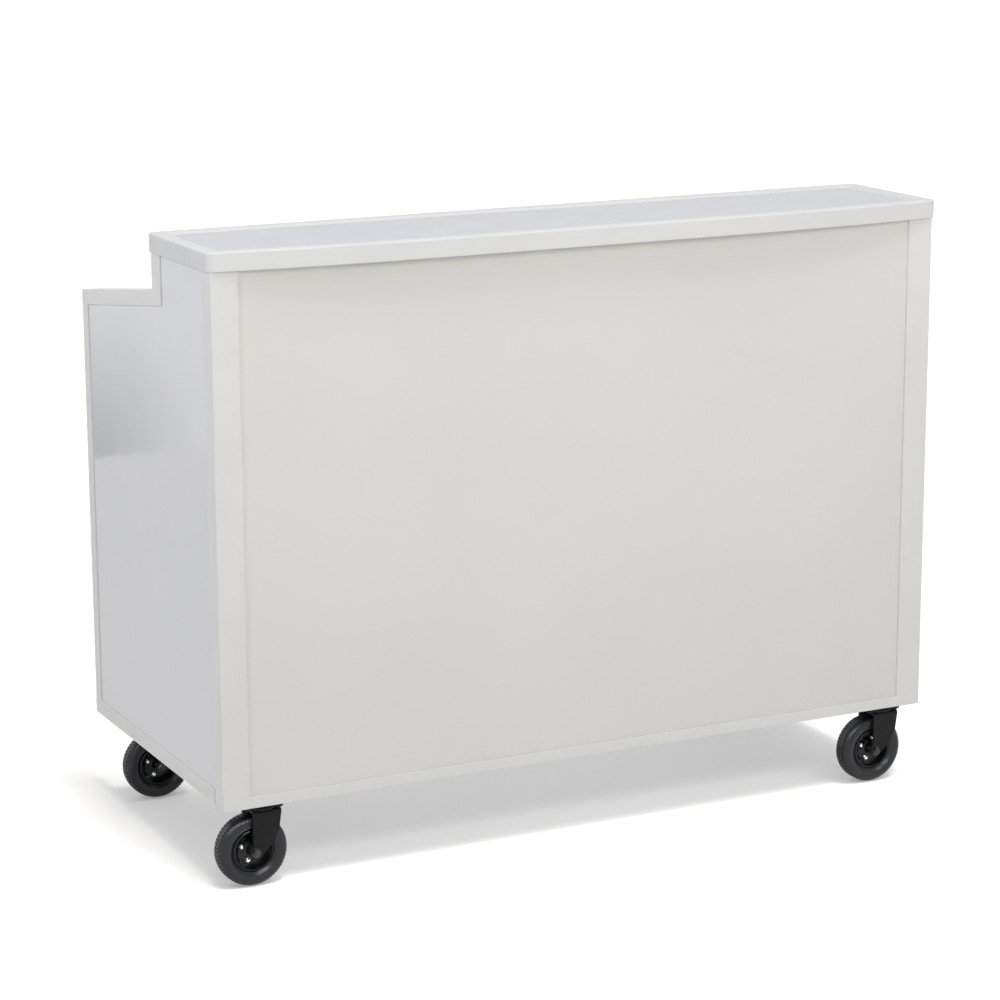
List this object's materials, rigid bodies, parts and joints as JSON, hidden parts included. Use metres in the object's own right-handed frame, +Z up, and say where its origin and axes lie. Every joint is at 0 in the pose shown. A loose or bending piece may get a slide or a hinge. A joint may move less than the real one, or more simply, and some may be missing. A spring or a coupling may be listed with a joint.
{
  "type": "folding portable bar",
  "caption": "White folding portable bar: inset front panel, bowed raised-rim bar top, stepped sides that fold in on long hinges, drop shelves, black swivel casters.",
  "frame": {"origin": "on the floor below the centre of the open bar's bounding box", "axes": "+X along the bar to the customer's right, +Y towards the bartender's side, +Z up"},
  "size_m": [1.524, 0.728, 1.181],
  "materials": {
    "white_steel": "satin white powder coat on steel tube",
    "front_laminate": "low-sheen warm white laminate sheet",
    "bar_top_laminate": "smooth white moulded top, satin gloss",
    "gloss_side_panel": "high-gloss cool white sheet",
    "shelf_board": "white laminated board",
    "zinc_steel": "bright zinc plate",
    "black_steel": "semi-gloss black powder coat on pressed steel",
    "black_rim": "gloss black pressed rim",
    "tyre_rubber": "black moulded rubber"
  },
  "bodies": {
    "front_frame": {"bar_top": "bar_top_laminate", "bar_top_rim": "black_rim", "bottom_rail": "white_steel", "front_left_caster_plate": "black_steel", "front_panel": "front_laminate", "front_right_caster_plate": "black_steel", "left_hinge_pin": "zinc_steel", "left_hinge_post_leaf": "zinc_steel", "left_post": "white_steel", "left_top_bracket": "white_steel", "left_upright": "white_steel", "right_hinge_pin": "zinc_steel", "right_hinge_post_leaf": "zinc_steel", "right_post": "white_steel", "right_top_bracket": "white_steel", "right_upright": "white_steel", "store_shelf_hinge_rail": "zinc_steel", "top_rail": "white_steel", "work_shelf_hinge_rail": "zinc_steel"},
    "left_side": {"left_side_bottom_rail": "white_steel", "left_side_caster_plate": "black_steel", "left_side_front_stile": "white_steel", "left_side_panel": "gloss_side_panel", "left_side_rear_stile": "white_steel", "left_side_riser_stile": "white_steel", "left_side_step_rail": "white_steel", "left_side_store_rail": "white_steel", "left_side_work_rail": "white_steel", "left_hinge_side_leaf": "zinc_steel"},
    "right_side": {"right_side_bottom_rail": "white_steel", "right_side_caster_plate": "black_steel", "right_side_front_stile": "white_steel", "right_side_panel": "gloss_side_panel", "right_side_rear_stile": "white_steel", "right_side_riser_stile": "white_steel", "right_side_step_rail": "white_steel", "right_side_store_rail": "white_steel", "right_side_work_rail": "white_steel", "right_hinge_side_leaf": "zinc_steel"},
    "work_shelf_flap": {"work_shelf": "shelf_board", "work_shelf_hinge_leaf": "zinc_steel"},
    "store_shelf_flap": {"store_shelf": "shelf_board", "store_shelf_hinge_leaf": "zinc_steel"},
    "front_left_swivel": {"front_left_fork": "black_steel", "front_left_axle": "zinc_steel"},
    "front_left_wheel": {"front_left_rim": "black_rim", "front_left_tyre": "tyre_rubber"},
    "front_right_swivel": {"front_right_fork": "black_steel", "front_right_axle": "zinc_steel"},
    "front_right_wheel": {"front_right_rim": "black_rim", "front_right_tyre": "tyre_rubber"},
    "rear_left_swivel": {"rear_left_fork": "black_steel", "rear_left_axle": "zinc_steel"},
    "rear_left_wheel": {"rear_left_rim": "black_rim", "rear_left_tyre": "tyre_rubber"},
    "rear_right_swivel": {"rear_right_fork": "black_steel", "rear_right_axle": "zinc_steel"},
    "rear_right_wheel": {"rear_right_rim": "black_rim", "rear_right_tyre": "tyre_rubber"}
  },
  "joints": [
    {"name": "left_side_fold", "type": "hinge", "parent": "front_frame", "child": "left_side", "pos_m": [-0.7175, -0.2875, 0.65], "axis": [0, 0, -1], "range_deg": [0, 90]},
    {"name": "right_side_fold", "type": "hinge", "parent": "front_frame", "child": "right_side", "pos_m": [0.7175, -0.2875, 0.65], "axis": [0, 0, 1], "range_deg": [0, 90]},
    {"name": "work_shelf_drop", "type": "hinge", "parent": "front_frame", "child": "work_shelf_flap", "pos_m": [0, -0.2875, 0.787], "axis": [1, 0, 0], "range_deg": [-90, 0]},
    {"name": "store_shelf_drop", "type": "hinge", "parent": "front_frame", "child": "store_shelf_flap", "pos_m": [0, -0.2875, 0.327], "axis": [1, 0, 0], "range_deg": [-90, 0]},
    {"name": "front_left_swivel_turn", "type": "hinge", "parent": "front_frame", "child": "front_left_swivel", "pos_m": [-0.673, -0.298, 0.147], "axis": [0, 0, 1], "continuous": true},
    {"name": "front_left_wheel_roll", "type": "hinge", "parent": "front_left_swivel", "child": "front_left_wheel", "pos_m": [-0.689, -0.298, 0.068], "axis": [0, 1, 0], "continuous": true},
    {"name": "front_right_swivel_turn", "type": "hinge", "parent": "front_frame", "child": "front_right_swivel", "pos_m": [0.673, -0.298, 0.147], "axis": [0, 0, 1], "continuous": true},
    {"name": "front_right_wheel_roll", "type": "hinge", "parent": "front_right_swivel", "child": "front_right_wheel", "pos_m": [0.657, -0.298, 0.068], "axis": [0, 1, 0], "continuous": true},
    {"name": "rear_left_swivel_turn", "type": "hinge", "parent": "left_side", "child": "rear_left_swivel", "pos_m": [-0.652, 0.26, 0.147], "axis": [0, 0, 1], "continuous": true},
    {"name": "rear_left_wheel_roll", "type": "hinge", "parent": "rear_left_swivel", "child": "rear_left_wheel", "pos_m": [-0.668, 0.26, 0.068], "axis": [0, 1, 0], "continuous": true},
    {"name": "rear_right_swivel_turn", "type": "hinge", "parent": "right_side", "child": "rear_right_swivel", "pos_m": [0.652, 0.26, 0.147], "axis": [0, 0, 1], "continuous": true},
    {"name": "rear_right_wheel_roll", "type": "hinge", "parent": "rear_right_swivel", "child": "rear_right_wheel", "pos_m": [0.636, 0.26, 0.068], "axis": [0, 1, 0], "continuous": true}
  ]
}
